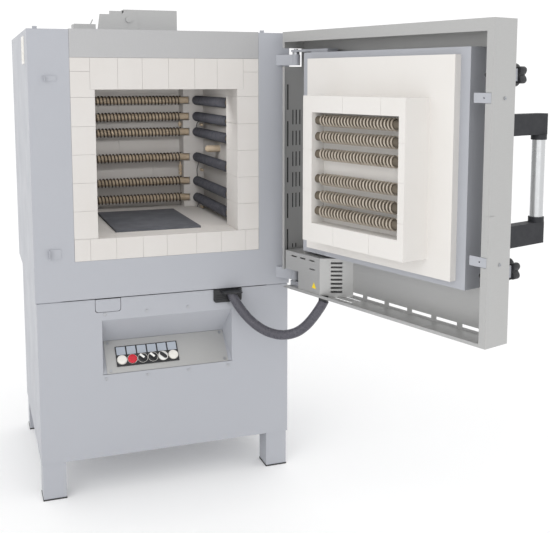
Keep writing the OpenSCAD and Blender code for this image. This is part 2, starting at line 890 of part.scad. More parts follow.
// Folded box over the coil terminals, with a slotted slanted side and a notch for the lower hinge
module terminal_box() {
  color(steel) on_door()
    difference() {
      box_shape(0, box_z);
      box_shape(1.5, [box_z[0] - 1, box_z[1] - 1.5]);
      block([670, door_back - 1, box_z[0] - 1], [door_w, 0, 625]);
      for (k = [0 : 2])
        block([598 + 40 * k, box_face - 3, 664], [622 + 40 * k, door_face + 1, 668]);
      block([597, box_face - 3, 640], [620, door_face + 1, 644]);
      for (k = [0 : 7])
        translate([546, -41, 582 + 11.5 * k]) rotate([0, 0, 52]) translate([-16, -8, 0]) cube([32, 16, 5.5]);
      translate([gland_at[0], gland_at[1], box_z[0] - 1]) cylinder(r = 13, h = 5);
    }
}

// Plan of the terminal box, shrunk by a wall's thickness t
module box_shape(t, z) {
  translate([0, 0, z[0]]) linear_extrude(z[1] - z[0])
    polygon([[box_x[0] + t * 0.6, box_face - t], [box_x[1] - t, box_face - t],
             [box_x[1] - t, door_back + sheet + 0.3 + t], [518 + t * 1.8, door_back + sheet + 0.3 + t]]);
}

module conduit_gland() {
  color(dark) on_door()
    translate([gland_at[0], gland_at[1], door_z - 8])
      difference() {
        union() {
          cylinder(r = 15.5, h = 7.8);
          cylinder(r = 12.5, h = 13);
        }
        translate([0, 0, -1]) cylinder(r = 9, h = 20);
      }
}

bracket_z = [[752, 774], [1115, 1137]];

// Bars that tie the casing's free edge to the tray
module door_brackets() {
  color(paint) on_door()
    for (z = bracket_z)
      difference() {
        union() {
          block([3.5, door_face - 3, z[0]], [51, door_face, z[1]]);
          block([sheet, -60, z[0]], [sheet + 2.5, door_face - 6, z[1]]);
          block([sheet, door_face - 6, z[0]], [14, door_face - 3, z[1]]);
        }
        bar_y([23, door_face - 5, (z[0] + z[1]) / 2], 2.2, 10);
      }
}

module corner_cover() {
  color(steel) on_door() {
    block([-2, -22, 813], [0, door_face + 1.5, 867]);
    block([-2, door_face, 813], [9, door_face + 1.5, 867]);
  }
}

module door_screws() {
  color(steel) on_door() {
    for (z = [755, 1125])
      translate([0, -45, z]) rotate([0, -90, 0]) screw_head(4);
    for (z = [640, 1060, 1160])
      translate([tray_x[1], -50, z]) rotate([0, 90, 0]) screw_head(3.5);
  }
}

knob_x = 29;
knob_z = [729, 1176];
knob_y = -106;
spindle_r = 5;

module knob_collars() {
  color(paint) on_door()
    for (z = knob_z)
      difference() {
        block([knob_x - 14, knob_y, z - 14], [knob_x + 14, door_back, z + 14]);
        bar_y([knob_x, knob_y - 1, z], spindle_r + 0.05, 40);
      }
}

// Five-lobed star knob on its spindle
module star_knob(z) {
  lobe = knob_dia / 2 - 8;
  color(dark) on_door()
    union() {
      translate([knob_x, knob_y - 0.4, z]) rotate([90, 0, 0]) {
        cylinder(r = 17, h = 22);
        for (k = [0 : 4])
          rotate([0, 0, 72 * k]) translate([lobe, 0, 2]) cylinder(r = 8, h = 18);
      }
      bar_y([knob_x, knob_y - 1, z], spindle_r, 92);
    }
}

module lower_knob() {
  star_knob(knob_z[0]);
}

module upper_knob() {
  star_knob(knob_z[1]);
}

handle_x = 12;
handle_z = [[788, 838], [1041, 1089]];
bar_out = -187;

// Moulded brackets that hold the handle's bar clear of the door
module handle_ends() {
  color(dark) on_door()
    for (z = handle_z) {
      block([handle_x - 12, -202, z[0]], [handle_x + 16, door_back, z[1]]);
      translate([handle_x, bar_out, z[0] == handle_z[0][0] ? z[1] : z[0] - 12]) cylinder(r = 18, h = 12);
    }
}

module handle_bar() {
  color([0.8, 0.8, 0.8]) on_door()
    translate([handle_x, bar_out, handle_z[0][1] + 12])
      cylinder(r = 15, h = handle_z[1][0] - handle_z[0][1] - 24);
}

// ---------------------------------------------------------------- conduit

function unit(v) = v / norm(v);
function tangent(p, i) = unit(p[min(i + 1, len(p) - 1)] - p[max(i - 1, 0)]);
function side_of(t) = unit(cross(t, [0.8, -0.6, 0.01]));
function end_tangent(p, i) = i == 0 || i == len(p) - 1 ? [0, 0, i == 0 ? -1 : 1] : tangent(p, i);

// Tube swept along the points of p
module swept_tube(p, r, sides = 10) {
  rings = [for (i = [0 : len(p) - 1]) let(t = end_tangent(p, i), u = side_of(t), v = cross(t, u))
    for (k = [0 : sides - 1]) p[i] + r * (cos(360 * k / sides) * u + sin(360 * k / sides) * v)];
  last = (len(p) - 1) * sides;
  polyhedron(rings, concat(
    [[for (k = [0 : sides - 1]) k]],
    [for (i = [0 : len(p) - 2], k = [0 : sides - 1]) let(a = i * sides, n = (k + 1) % sides)
      [a + k, a + sides + k, a + sides + n, a + n]],
    [[for (k = [sides - 1 : -1 : 0]) last + k]]), convexity = 6);
}

module conduit() {
  color([0.35, 0.36, 0.39]) row_frame() swept_tube(conduit_route, conduit_r);
}

// ---------------------------------------------------------------- nodes

foot_pads();
legs();
base_casing();
console_hood();
console_cheeks();
console_bed();
console_plate();
control_frame();
control_labels();
control_bezels();
console_screws();
left_button();
red_button();
right_button();
left_selector();
middle_selector();
right_selector();
switchgear();
mains_gland();
upper_casing();
lintel_plate();
backup_insulation();
collar_bricks();
side_wall_bricks();
back_wall_bricks();
corner_columns();
roof_bricks();
floor_bricks();
back_coil_tubes();
back_heating_coils();
side_coil_tubes();
side_heating_coils();
coil_links();
thermocouple();
floor_plate();
door_catches();
conduit_bushing();
blanking_plate();
side_grille();
hinge_blocks();
hinge_pins();
exhaust_sleeve();
exhaust_bracket();
exhaust_flap();
door_casing();
door_tray();
door_insulation();
door_plug_bricks();
door_coil_tubes();
door_heating_coils();
door_hinge_arms();
terminal_box();
conduit_gland();
door_brackets();
corner_cover();
door_screws();
knob_collars();
upper_knob();
lower_knob();
handle_ends();
handle_bar();
conduit();
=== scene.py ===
"""Looks for a front-loading chamber kiln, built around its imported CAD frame. Lengths are in metres.

Places are worked out from the frame: cabinet() and door() turn millimetres measured from the
cabinet's left side, front face and floor into the row frame, door() for the door as if it were shut.
"""
import json
import math

import bmesh
import bpy
from mathutils import Matrix, Vector


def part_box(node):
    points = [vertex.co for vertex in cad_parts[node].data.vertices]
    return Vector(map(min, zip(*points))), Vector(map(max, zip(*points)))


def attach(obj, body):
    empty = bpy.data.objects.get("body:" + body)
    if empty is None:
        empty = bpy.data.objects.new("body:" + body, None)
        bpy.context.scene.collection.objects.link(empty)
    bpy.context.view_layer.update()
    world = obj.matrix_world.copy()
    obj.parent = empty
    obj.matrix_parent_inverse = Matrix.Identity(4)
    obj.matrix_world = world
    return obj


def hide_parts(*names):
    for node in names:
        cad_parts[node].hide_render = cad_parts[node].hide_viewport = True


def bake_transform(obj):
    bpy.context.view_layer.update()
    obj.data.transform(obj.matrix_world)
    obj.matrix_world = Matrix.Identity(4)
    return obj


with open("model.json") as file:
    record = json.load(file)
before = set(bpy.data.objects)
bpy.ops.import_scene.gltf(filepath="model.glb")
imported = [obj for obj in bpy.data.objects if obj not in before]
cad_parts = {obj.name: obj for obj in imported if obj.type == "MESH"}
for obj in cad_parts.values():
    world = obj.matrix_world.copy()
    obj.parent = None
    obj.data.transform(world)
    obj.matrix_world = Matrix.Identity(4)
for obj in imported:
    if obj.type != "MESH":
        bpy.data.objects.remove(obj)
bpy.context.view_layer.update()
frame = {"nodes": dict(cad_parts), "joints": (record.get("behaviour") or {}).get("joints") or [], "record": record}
nodes = frame["nodes"]
record = frame["record"]
slot_of = {part["node"]: part["material_slot"] for part in record["subparts"]}
joints = {joint["name"]: joint for joint in frame["joints"]}

MM = 0.001
casing_low, casing_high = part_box("upper_casing")
DOOR_OPEN = math.radians(-joints["door_hinge"]["range_deg"][0])
HINGE = Vector(joints["door_hinge"]["pos_m"])


# ---------------------------------------------------------------- places

def cabinet(x, y, z):
    """A point given in millimetres from the cabinet's left side, front face and the floor."""
    return Vector((casing_low[0] + x * MM, casing_low[1] + y * MM, z * MM))


def swing(point, angle):
    """The point turned about the door's hinge axis."""
    dx, dy = point[0] - HINGE.x, point[1] - HINGE.y
    c, s = math.cos(angle), math.sin(angle)
    return Vector((HINGE.x + c * dx - s * dy, HINGE.y + s * dx + c * dy, point[2]))


def door(x, y, z):
    """A point on the door, given in millimetres as if the door were shut."""
    return swing(cabinet(x, y, z), DOOR_OPEN)


PLATE_TILT = math.radians(48.6)
PLATE_CORNER = cabinet(188, 3, 345)
PLATE_FRAME = Matrix.Translation(PLATE_CORNER) @ Matrix.Rotation(PLATE_TILT, 4, "X")


def islands(node):
    """The lowest and highest corner of each separate solid in a CAD node, lowest first."""
    bm = bmesh.new()
    bm.from_mesh(nodes[node].data)
    bmesh.ops.remove_doubles(bm, verts=bm.verts, dist=1e-6)
    left = set(bm.verts)
    found = []
    while left:
        stack = [left.pop()]
        group = list(stack)
        while stack:
            for edge in stack.pop().link_edges:
                for vert in edge.verts:
                    if vert in left:
                        left.remove(vert)
                        stack.append(vert)
                        group.append(vert)
        found.append([vert.co.copy() for vert in group])
    bm.free()
    return sorted(found, key=lambda pts: (sum(p.z for p in pts) / len(pts), min(p.x for p in pts)))


def extent(points):
    """The lowest and highest corner of the points' upright box."""
    low = Vector([min(p[k] for p in points) for k in range(3)])
    high = Vector([max(p[k] for p in points) for k in range(3)])
    return low, high


# ---------------------------------------------------------------- mesh helpers

SHARP_ANGLE = 35


def new_object(name, verts, faces, smooth=True):
    """A mesh object, linked into the scene."""
    mesh = bpy.data.meshes.new(name)
    mesh.from_pydata([tuple(v) for v in verts], [], faces)
    mesh.validate()
    mesh.update()
    if smooth:
        mesh.polygons.foreach_set("use_smooth", [True] * len(mesh.polygons))
    obj = bpy.data.objects.new(name, mesh)
    bpy.context.scene.collection.objects.link(obj)
    return obj


def bevel(obj, width):
    """Rounds the piece's sharp edges by a width in millimetres."""
    mod = obj.modifiers.new("bevel", "BEVEL")
    mod.width = width * MM
    mod.segments = 2
    mod.limit_method = "ANGLE"
    mod.angle_limit = math.radians(SHARP_ANGLE)
    mod.harden_normals = True
    return obj


def sweep(path, radii, sides):
    """Vertices and faces of a closed tube along the path; radii holds one radius for each point."""
    verts, faces = [], []
    count = len(path)
    normal = None
    for i, point in enumerate(path):
        ahead = (path[min(i + 1, count - 1)] - path[max(i - 1, 0)]).normalized()
        if normal is None:
            normal = ahead.orthogonal().normalized()
        normal = (normal - ahead * normal.dot(ahead)).normalized()
        side = ahead.cross(normal)
        for k in range(sides):
            turn = 2 * math.pi * k / sides
            verts.append(point + radii[i] * (math.cos(turn) * normal + math.sin(turn) * side))
    for i in range(count - 1):
        for k in range(sides):
            n = (k + 1) % sides
            faces.append((i * sides + k, i * sides + n, (i + 1) * sides + n, (i + 1) * sides + k))
    faces.append(tuple(range(sides - 1, -1, -1)))
    faces.append(tuple((count - 1) * sides + k for k in range(sides)))
    return verts, faces


def lathe(profile, sides=48):
    """Vertices and faces of a solid turned about Z. The profile is (radius, height), top to bottom."""
    verts, faces = [], []
    for radius, height in profile:
        for k in range(sides):
            turn = 2 * math.pi * k / sides
            verts.append(Vector((radius * math.cos(turn), radius * math.sin(turn), height)))
    for i in range(len(profile) - 1):
        for k in range(sides):
            n = (k + 1) % sides
            faces.append((i * sides + k, (i + 1) * sides + k, (i + 1) * sides + n, i * sides + n))
    faces.append(tuple(range(sides)))
    faces.append(tuple((len(profile) - 1) * sides + k for k in range(sides - 1, -1, -1)))
    return verts, faces


def box_mesh(low, high):
    """Vertices and faces of an upright box between two corners."""
    (x0, y0, z0), (x1, y1, z1) = low, high
    verts = [(x, y, z) for x in (x0, x1) for y in (y0, y1) for z in (z0, z1)]
    faces = [(0, 1, 3, 2), (4, 6, 7, 5), (0, 4, 5, 1), (2, 3, 7, 6), (0, 2, 6, 4), (1, 5, 7, 3)]
    return [Vector(v) for v in verts], faces


def prism(outline, depth):
    """A flat outline of (x, y) points, made depth thick along Z."""
    n = len(outline)
    verts = [Vector((x, y, 0)) for x, y in outline] + [Vector((x, y, depth)) for x, y in outline]
    faces = [tuple(range(n - 1, -1, -1)), tuple(range(n, 2 * n))]
    faces += [(k, (k + 1) % n, n + (k + 1) % n, n + k) for k in range(n)]
    return verts, faces


def join_parts(parts):
    """Several (vertices, faces) pairs as one."""
    verts, faces = [], []
    for part_verts, part_faces in parts:
        start = len(verts)
        verts += list(part_verts)
        faces += [tuple(start + k for k in face) for face in part_faces]
    return verts, faces


def moved(part, matrix):
    """A (vertices, faces) pair put in place by a matrix."""
    verts, faces = part
    return [matrix @ Vector(v) for v in verts], faces


# ---------------------------------------------------------------- materials

class Shader:
    """A Principled material with short calls for the nodes that it uses."""

    def __init__(self, name, color, roughness, metallic=0.0):
        self.material = bpy.data.materials.new(name)
        self.material.use_nodes = True
        self.tree = self.material.node_tree
        self.shader = self.tree.nodes["Principled BSDF"]
        self.shader.inputs["Base Color"].default_value = (*color, 1)
        self.shader.inputs["Roughness"].default_value = roughness
        self.shader.inputs["Metallic"].default_value = metallic
        self.color = color
        self.place = self.tree.nodes.new("ShaderNodeTexCoord").outputs["Object"]
        self.normal = None

    def node(self, kind, **values):
        node = self.tree.nodes.new(kind)
        for name, value in values.items():
            setattr(node, name, value)
        return node

    def link(self, out, into):
        self.tree.links.new(out, into)

    def stretched(self, scale):
        """Object coordinates scaled along each axis, for streaks."""
        mapping = self.node("ShaderNodeMapping")
        mapping.inputs["Scale"].default_value = scale
        self.link(self.place, mapping.inputs["Vector"])
        return mapping.outputs["Vector"]

    def noise(self, scale, detail=4, roughness=0.55, vector=None):
        node = self.node("ShaderNodeTexNoise")
        node.inputs["Scale"].default_value = scale
        node.inputs["Detail"].default_value = detail
        node.inputs["Roughness"].default_value = roughness
        self.link(vector or self.place, node.inputs["Vector"])
        return node.outputs["Fac"]

    def voronoi(self, scale):
        node = self.node("ShaderNodeTexVoronoi")
        node.inputs["Scale"].default_value = scale
        self.link(self.place, node.inputs["Vector"])
        return node.outputs["Distance"]

    def ramp(self, value, low, high, low_value=0.0, high_value=1.0):
        """Value spread from low..high to low_value..high_value, and held at both ends."""
        node = self.node("ShaderNodeMapRange")
        for name, number in (("From Min", low), ("From Max", high),
                             ("To Min", low_value), ("To Max", high_value)):
            node.inputs[name].default_value = number
        self.link(value, node.inputs["Value"])
        return node.outputs["Result"]

    def tint(self, value, other, base=None):
        """Mixes the base colour with another where value is 1."""
        node = self.node("ShaderNodeMix", data_type="RGBA")
        node.inputs["A"].default_value = (*self.color, 1)
        if base is not None:
            self.link(base, node.inputs["A"])
        node.inputs["B"].default_value = (*other, 1)
        self.link(value, node.inputs["Factor"])
        self.link(node.outputs["Result"], self.shader.inputs["Base Color"])
        return node.outputs["Result"]

    def rough(self, value):
        self.link(value, self.shader.inputs["Roughness"])

    def bump(self, value, strength, distance):
        """Adds relief on top of any relief that is there already."""
        node = self.node("ShaderNodeBump")
        node.inputs["Strength"].default_value = strength
        node.inputs["Distance"].default_value = distance
        self.link(value, node.inputs["Height"])
        if self.normal is not None:
            self.link(self.normal, node.inputs["Normal"])
        self.normal = node.outputs["Normal"]
        self.link(self.normal, self.shader.inputs["Normal"])


PORES_PER_METRE = 420
PORE_COLOR = (0.60, 0.54, 0.46)


def painted_steel():
    """Light blue-grey satin powder coat with a fine texture."""
    s = Shader("painted_steel", (0.405, 0.417, 0.452), 0.42)
    s.rough(s.ramp(s.noise(9), 0.3, 0.7, 0.36, 0.48))
    s.tint(s.ramp(s.noise(2.5), 0.35, 0.7, 0, 0.35), (0.42, 0.43, 0.462))
    s.bump(s.noise(1400, 2), 0.05, 0.0004)
    return s.material


def stainless(name, color, streaks):
    """Brushed sheet; streaks scales the grain along each axis, and it runs along the small ones."""
    s = Shader(name, color, 0.42, 0.5)
    grain = s.noise(70, 5, 0.7, s.stretched(streaks))
    s.rough(s.ramp(grain, 0.3, 0.75, 0.36, 0.5))
    s.tint(s.ramp(grain, 0.35, 0.7, 0, 0.5), tuple(c * 0.92 for c in color))
    s.bump(grain, 0.05, 0.0002)
    return s.material


def fire_brick(name, color, warmer):
    """Light insulating brick: faint warm blotches, scattered pores and a rough face."""
    s = Shader(name, color, 0.9)
    blotch = s.ramp(s.noise(7, 6), 0.35, 0.7, 0, 0.55)
    base = s.tint(blotch, warmer)
    pores = s.ramp(s.voronoi(PORES_PER_METRE), 0.0, 0.16, 1, 0)
    sparse = s.ramp(s.noise(160, 3), 0.52, 0.62, 0, 0.4)
    mask = s.node("ShaderNodeMath", operation="MULTIPLY")
    s.link(pores, mask.inputs[0])
    s.link(sparse, mask.inputs[1])
    s.tint(mask.outputs[0], PORE_COLOR, base)
    s.bump(s.noise(900, 4, 0.7), 0.25, 0.0006)
    s.bump(s.voronoi(300), 0.12, 0.0005)
    s.shader.inputs["Specular IOR Level"].default_value = 0.25
    return s.material


def fibre_slab():
    s = Shader("fibre_slab", (0.80, 0.78, 0.71), 0.95)
    s.tint(s.ramp(s.noise(30), 0.4, 0.7), (0.74, 0.70, 0.62))
    s.bump(s.noise(600, 6, 0.8), 0.4, 0.001)
    return s.material


def heating_wire(name, color, dark):
    """Oxidised resistance wire with darker patches."""
    s = Shader(name, color, 0.55, 0.35)
    s.tint(s.ramp(s.noise(45, 5), 0.4, 0.68, 0, 0.85), dark)
    s.rough(s.ramp(s.noise(200), 0.3, 0.7, 0.45, 0.7))
    s.bump(s.noise(1500, 3), 0.15, 0.0003)
    return s.material


def ceramic(name, color, dark, grain=500):
    """Matt sintered ceramic with darker patches."""
    s = Shader(name, color, 0.8)
    s.tint(s.ramp(s.noise(25, 5), 0.4, 0.7, 0, 0.8), dark)
    s.bump(s.noise(grain, 4), 0.2, 0.0005)
    return s.material


def plastic(name, color, roughness, grain=0.06):
    """Moulded plastic or rubber with a fine grain."""
    s = Shader(name, color, roughness)
    s.rough(s.ramp(s.noise(60), 0.3, 0.7, roughness - 0.05, roughness + 0.07))
    s.tint(s.ramp(s.noise(12), 0.4, 0.7, 0, 0.4), tuple(min(1, c * 1.25 + 0.004) for c in color))
    s.bump(s.noise(1800, 2), grain, 0.0003)
    return s.material


def metal(name, color, roughness):
    """Bare metal with a slightly uneven gloss."""
    s = Shader(name, color, roughness, 1.0)
    s.rough(s.ramp(s.noise(90, 3), 0.3, 0.7, roughness - 0.05, roughness + 0.1))
    s.bump(s.noise(500, 2), 0.03, 0.0002)
    return s.material


materials = {
    "painted_steel": painted_steel(),
    "stainless_steel": stainless("stainless_steel", (0.465, 0.465, 0.46), (1, 1, 30)),
    "fasteners": metal("fasteners", (0.44, 0.45, 0.47), 0.3),
    "fire_brick": fire_brick("fire_brick", (0.655, 0.632, 0.61), (0.63, 0.60, 0.57)),
    "fibre_slab": fibre_slab(),
    "heating_wire": heating_wire("heating_wire", (0.115, 0.09, 0.068), (0.065, 0.052, 0.042)),
    "ceramic_tube": ceramic("ceramic_tube", (0.58, 0.47, 0.345), (0.47, 0.37, 0.26)),
    "silicon_carbide": ceramic("silicon_carbide", (0.10, 0.106, 0.122), (0.145, 0.15, 0.168),
                               900),
    "black_plastic": plastic("black_plastic", (0.014, 0.0145, 0.017), 0.42),
    "rubber_pad": plastic("rubber_pad", (0.03, 0.03, 0.03), 0.8, 0.2),
    "grey_plastic": plastic("grey_plastic", (0.42, 0.46, 0.52), 0.5),
    "bezel_metal": metal("bezel_metal", (0.75, 0.73, 0.70), 0.18),
    "white_plastic": plastic("white_plastic", (0.80, 0.78, 0.73), 0.25, 0.02),
    "red_plastic": plastic("red_plastic", (0.58, 0.012, 0.03), 0.22, 0.02),
    "aluminium_tube": metal("aluminium_tube", (0.58, 0.59, 0.60), 0.3),
    "conduit_plastic": plastic("conduit_plastic", (0.075, 0.073, 0.09), 0.27, 0.03),
}
side_wire = heating_wire("side_wire", (0.085, 0.086, 0.102), (0.055, 0.056, 0.068))
door_wire = heating_wire("door_wire", (0.56, 0.50, 0.425), (0.40, 0.345, 0.28))
dark_tube = ceramic("dark_tube", (0.14, 0.115, 0.085), (0.09, 0.075, 0.055))
# A lighter copy of the fire brick for the door's insulation and plug: painted light where the door faces the lamps
door_brick_painted_light = fire_brick("door_brick_painted_light", (0.735, 0.715, 0.69), (0.71, 0.685, 0.655))
lintel_steel = stainless("lintel_steel", (0.43, 0.43, 0.435), (30, 1, 1))
# Nearly black, for the sheets in the door's vent slots: painted shade
painted_shade_black = plastic("painted_shade_black", (0.012, 0.012, 0.012), 0.8)
marker_yellow = plastic("marker_yellow", (0.85, 0.62, 0.01), 0.4, 0.02)
pointer_white = plastic("pointer_white", (0.86, 0.86, 0.84), 0.3, 0.02)
handle_black = plastic("handle_black", (0.012, 0.013, 0.017), 0.6, 0.1)


def finish_piece(obj, material, body, slot, *replaced):
    """Gives a piece its material and its place on a body."""
    obj.data.materials.clear()
    obj.data.materials.append(material)
    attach(obj, body)
    if replaced:
        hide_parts(*replaced)
    return obj


# ---------------------------------------------------------------- camera

EYE = cabinet(-154.7, -2354.1, 1165.8)
EYE_YAW, EYE_PITCH = math.radians(19.66), math.radians(6.91)
SENSOR_WIDTH = 36
FOCAL_PER_WIDTH = 862.1 / 550


def add_camera():
    """Stands left of the kiln's middle at eye height, and looks a little to the right and down."""
    data = bpy.data.cameras.new("camera")
    camera = bpy.data.objects.new("camera", data)
    bpy.context.scene.collection.objects.link(camera)
    camera.location = EYE
    level = math.cos(EYE_PITCH)
    ahead = Vector((math.sin(EYE_YAW) * level, math.cos(EYE_YAW) * level, -math.sin(EYE_PITCH)))
    camera.rotation_euler = ahead.to_track_quat("-Z", "Y").to_euler()
    data.sensor_width = SENSOR_WIDTH
    data.lens = SENSOR_WIDTH * FOCAL_PER_WIDTH
    data.shift_y = -0.15
    data.clip_end = 50
    bpy.context.scene.camera = camera


add_camera()

# ---------------------------------------------------------------- conduit

CONDUIT_RADIUS = 14
CONDUIT_SIDES = 28
RIB_PITCH = 3.6
RIB_DEPTH = 1.0
# The route's points are those of the CAD conduit
CONDUIT_ROUTE = [
    (546, -20, 554.8), (549, -22, 544), (556, -28, 530), (565, -36, 514), (577, -46, 496),
    (590, -58, 480), (605, -72, 466), (622, -87, 455), (640, -103, 448.5), (660, -121, 446.5),
    (680, -138, 451), (699, -155, 462), (716, -170, 480), (730, -183, 502), (742, -194, 525),
    (752, -202, 546), (756.8, -206.9, 559.7),
]


def smooth_route(points, step):
    """Points along a Catmull-Rom curve through the given ones, about step apart."""
    fine = []
    last = len(points) - 1
    for i in range(last):
        p0, p1, p2, p3 = (points[max(i - 1, 0)], points[i], points[i + 1], points[min(i + 2, last)])
        pieces = max(2, round((p2 - p1).length / step))
        for k in range(pieces):
            t = k / pieces
            fine.append(0.5 * (2 * p1 + (p2 - p0) * t + (2 * p0 - 5 * p1 + 4 * p2 - p3) * t * t
                               + (3 * p1 - p0 - 3 * p2 + p3) * t ** 3))
    fine.append(points[-1])
    return fine


def add_conduit():
    """A ribbed plastic conduit from the base's bushing to the door's terminal box."""
    points = [cabinet(*p) for p in CONDUIT_ROUTE]
    path = smooth_route(points, RIB_PITCH * MM / 4)
    radii, travelled = [], 0.0
    for i, point in enumerate(path):
        if i:
            travelled += (point - path[i - 1]).length
        wave = 0.5 - 0.5 * math.cos(2 * math.pi * travelled / (RIB_PITCH * MM))
        radii.append((CONDUIT_RADIUS - RIB_DEPTH * wave) * MM)
    obj = new_object("ribbed_conduit", *sweep(path, radii, CONDUIT_SIDES))
    obj.data.materials.append(materials["conduit_plastic"])
    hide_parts("conduit")
    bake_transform(obj)


add_conduit()

# ---------------------------------------------------------------- CAD nodes

# Rounding of the CAD nodes' edges in millimetres, by material slot and for some nodes of their own
BEVELS = {
    "painted_steel": 0.9, "stainless_steel": 0.7, "fire_brick": 1.4, "black_plastic": 0.8,
    "fibre_slab": 0, "silicon_carbide": 1.2, "grey_plastic": 0.5, "rubber_pad": 1.0,
}
OWN_BEVELS = {
    "handle_ends": 11.0, "conduit_bushing": 1.2, "knob_collars": 1.5, "hinge_blocks": 2.0,
    "floor_plate": 1.0,
}
# The door's insulation and plug take the lighter brick, which is painted light
OWN_MATERIALS = {
    "door_coil_tubes": dark_tube, "side_coil_tubes": dark_tube, "door_insulation": door_brick_painted_light,
    "door_plug_bricks": door_brick_painted_light, "lintel_plate": lintel_steel,
    "side_grille": materials["white_plastic"], "handle_ends": handle_black,
}


def dress_nodes():
    """Gives every CAD node its material and its rounding."""
    for name, obj in nodes.items():
        obj.material_slots[0].material = OWN_MATERIALS.get(name, materials[slot_of[name]])
        width = OWN_BEVELS.get(name, BEVELS.get(slot_of[name], 0))
        if width:
            bevel(obj, width)


dress_nodes()

# ---------------------------------------------------------------- heating coils

COIL_PITCH = 11.6
COIL_RADIUS = 13.75
WIRE_RADIUS = 2.25
TURN_STEPS = 18
WIRE_SIDES = 7


def coil(start, end):
    """A wire wound about the level line from start to end."""
    along = (end - start).normalized()
    u = Vector((0, 0, 1))
    v = along.cross(u)
    length = (end - start).length - 2 * WIRE_RADIUS * MM
    turns = round(length / (COIL_PITCH * MM))
    steps = turns * TURN_STEPS
    path = []
    for i in range(steps + 1):
        turn = 2 * math.pi * i / TURN_STEPS
        out = COIL_RADIUS * MM * (math.cos(turn) * u + math.sin(turn) * v)
        path.append(start + along * (WIRE_RADIUS * MM + length * i / steps) + out)
    return sweep(path, [WIRE_RADIUS * MM] * len(path), WIRE_SIDES)


def coil_ends(points, angle):
    """The two ends of a coil's axis, from its sleeve's points, in the frame turned back by angle."""
    flat = [swing(p, -angle) for p in points]
    low, high = extent(flat)
    middle = (low + high) / 2
    axis = 0 if high.x - low.x > high.y - low.y else 1
    start, end = middle.copy(), middle.copy()
    start[axis], end[axis] = low[axis], high[axis]
    return swing(start, angle), swing(end, angle)


def add_coils(name, node, body, material, angle=0.0):
    """Winds a wire in each of the node's sleeves, which lie turned by angle about the door's hinge."""
    parts = [coil(*coil_ends(points, angle)) for points in islands(node)]
    obj = new_object(name, *join_parts(parts))
    finish_piece(obj, material, body, "heating_wire", node)


add_coils("back_coils", "back_heating_coils", "cabinet", materials["heating_wire"])
add_coils("side_coils", "side_heating_coils", "cabinet", side_wire)
add_coils("door_coils", "door_heating_coils", "door", door_wire, DOOR_OPEN)

LEAD_RADIUS = 1.3
LEAD_BOW = 4
LAST_LEAD_DROP = 28
# Along a bead and its radius there
BEAD = [(0, 3.4), (3, 4.6), (27, 4.6), (30, 3.4)]
BEAD_PAST_END = 56
BEAD_TO_WALL = 6


def add_side_leads():
    """Thin leads with ceramic beads at the side coils' back ends, which join them in pairs."""
    coils = [extent(points) for points in islands("side_heating_coils")]
    wires, beads = [], []
    centre = (casing_low[0] + casing_high[0]) / 2
    for side in (-1, 1):
        column = [c for c in coils if ((c[0].x + c[1].x) / 2 - centre) * side > 0]
        column.sort(key=lambda c: -c[0].z)
        for upper in (1, 3, 5):
            low, high = column[upper]
            last = upper + 1 == len(column)
            foot = low.z - LAST_LEAD_DROP * MM if last else column[upper + 1][1].z
            x, back, middle = (low.x + high.x) / 2, high.y, (low.z + foot) / 2
            bowed = x - side * LEAD_BOW * MM
            route = [Vector((x, back - 26 * MM, low.z)), Vector((bowed, back - 17 * MM, middle)),
                     Vector((x, back - 5 * MM, foot))]
            path = smooth_route(route, 3 * MM)
            wires.append(sweep(path, [LEAD_RADIUS * MM] * len(path), 8))
            beside = x + side * BEAD_TO_WALL * MM
            line = [Vector((beside, back + (along - BEAD_PAST_END) * MM, middle))
                    for along, _ in BEAD]
            beads.append(sweep(line, [radius * MM for _, radius in BEAD], 16))
    finish_piece(new_object("side_leads", *join_parts(wires)), side_wire, "cabinet", "heating_wire")
    finish_piece(new_object("side_beads", *join_parts(beads)), materials["ceramic_tube"], "cabinet",
                 "ceramic_tube")


add_side_leads()

# ---------------------------------------------------------------- controls

CONTROL_U = 45.6
CONTROL_PITCH = 29.6
CONTROL_V = 36
CAP_RADIUS = 13.2
GRIP_REACH = 12.4
GRIP_HALF_WIDTH = 4.6
GRIP_TURN = math.radians(45)
# Radius and height of the selector's skirt, from its face down to its shaft
SKIRT = [(0.1, 8.2), (11.4, 8.2), (12.6, 7.6), (CAP_RADIUS, 6.4), (CAP_RADIUS, 3), (5, 3), (5, -4)]


def at_control(index):
    """The place of a control, counted from the left: its seat on the plate, Z square to the plate."""
    shift = Vector(((CONTROL_U + index * CONTROL_PITCH) * MM, CONTROL_V * MM, 0))
    return PLATE_FRAME @ Matrix.Translation(shift)


def scaled(profile):
    """A profile in metres from one in millimetres."""
    return [(r * MM, h * MM) for r, h in profile]


def domed_cap(radius, base, top, crown):
    """Profile of a round cap with a rounded rim and a crowned face, from its centre outwards."""
    face = [(radius * t, top + crown * (1 - t * t)) for t in (0.01, 0.3, 0.6, 0.85)]
    rim = [(radius * 0.95, top - 0.1), (radius, top - 1.1), (radius, base)]
    return scaled(face + rim + [(6, base), (6, -5.5)])


def add_button(body, index, material, slot, crown):
    cap = lathe(domed_cap(CAP_RADIUS, 6, 9.6, crown))
    obj = new_object(body + "_cap", *moved(cap, at_control(index)))
    finish_piece(obj, material, body, slot, body)


